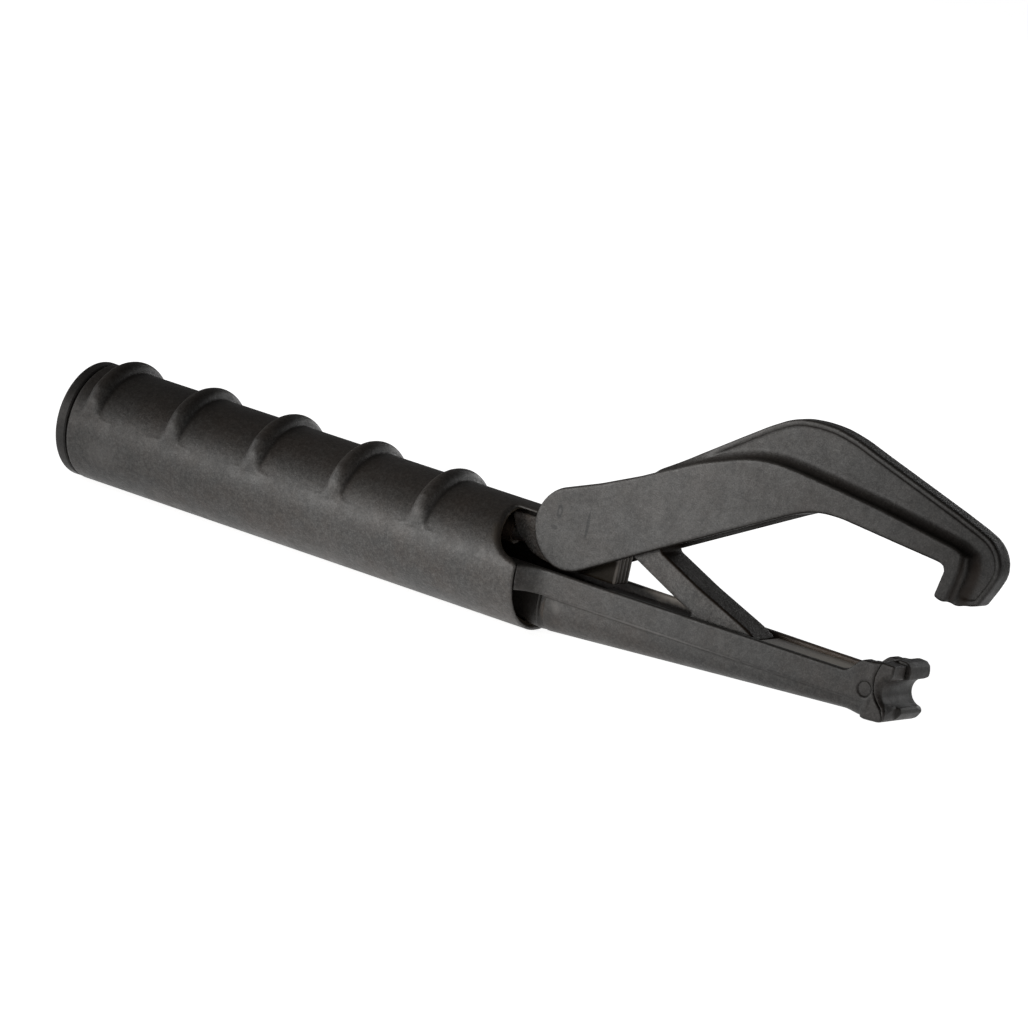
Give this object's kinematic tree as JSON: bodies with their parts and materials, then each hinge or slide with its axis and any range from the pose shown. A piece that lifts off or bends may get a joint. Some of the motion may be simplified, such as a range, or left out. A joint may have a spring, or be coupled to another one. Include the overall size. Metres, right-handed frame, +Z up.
{
  "type": "electrode holder",
  "caption": "Welding electrode holder with a ribbed tubular handle, a hooked upper jaw on a pivot and a grooved lower jaw that a turning rear collar draws along the handle.",
  "frame": {"origin": "under the middle of the overall length, on the plane through the handle's lowest line, midway across the handle", "axes": "+X along the handle towards the jaws, +Y across the jaws to the left, +Z up towards the upper jaw"},
  "size_m": [0.2666, 0.03, 0.0704],
  "materials": {
    "moulded_nylon": "black moulded glass-filled nylon with a fine satin grain",
    "brass": "machined",
    "copper": "drawn copper bar, slightly dull",
    "zinc_steel": "zinc plated, satin",
    "insulating_fibre": "pressed fibre",
    "rubber": "moulded, matt",
    "dark_bronze": "cast bronze blackened all over, satin"
  },
  "bodies": {
    "handle": {"grip_sleeve": "moulded_nylon", "pivot_block": "moulded_nylon", "pivot_pin": "zinc_steel", "pivot_washer_near": "zinc_steel", "pivot_washer_far": "zinc_steel", "tie_stud": "zinc_steel", "stud_spacer": "insulating_fibre", "tie_washer": "zinc_steel", "tie_nut": "zinc_steel", "anchor_plate": "insulating_fibre", "handle_liner": "insulating_fibre", "thrust_washer": "zinc_steel", "collar_retainer": "zinc_steel"},
    "clamp_collar": {"rear_collar": "moulded_nylon", "drive_nut": "brass", "cable_grommet": "rubber"},
    "lower_jaw": {"lower_jaw_arm": "moulded_nylon", "jaw_guide_bracket": "moulded_nylon", "bracket_screw_rear": "zinc_steel", "bracket_screw_front": "zinc_steel", "lower_contact": "dark_bronze", "tip_rivet": "dark_bronze", "conductor_bar": "copper", "conductor_cover": "moulded_nylon", "cable_socket": "brass", "conductor_screw": "zinc_steel", "cable_screw_front": "zinc_steel", "cable_screw_rear": "zinc_steel", "cable_saddle": "copper"},
    "upper_jaw": {"upper_jaw_arm": "moulded_nylon", "hook_wear_plate": "dark_bronze", "wear_screw": "zinc_steel"}
  },
  "joints": [
    {"name": "jaw_hinge", "type": "hinge", "parent": "handle", "child": "upper_jaw", "pos_m": [0.0188, 0, 0.0278], "axis": [0, 1, 0], "range_deg": [0, 14.5]},
    {"name": "collar_turn", "type": "hinge", "parent": "handle", "child": "clamp_collar", "pos_m": [-0.1309, 0, 0.015], "axis": [1, 0, 0], "range_deg": [0, 180]},
    {"name": "jaw_draw", "type": "slide", "parent": "handle", "child": "lower_jaw", "axis": [1, 0, 0], "range_m": [0, 0.0035]}
  ],
  "couplings": [
    {"joint": "collar_turn", "follows": "jaw_draw", "rad_per_m": 897}
  ]
}
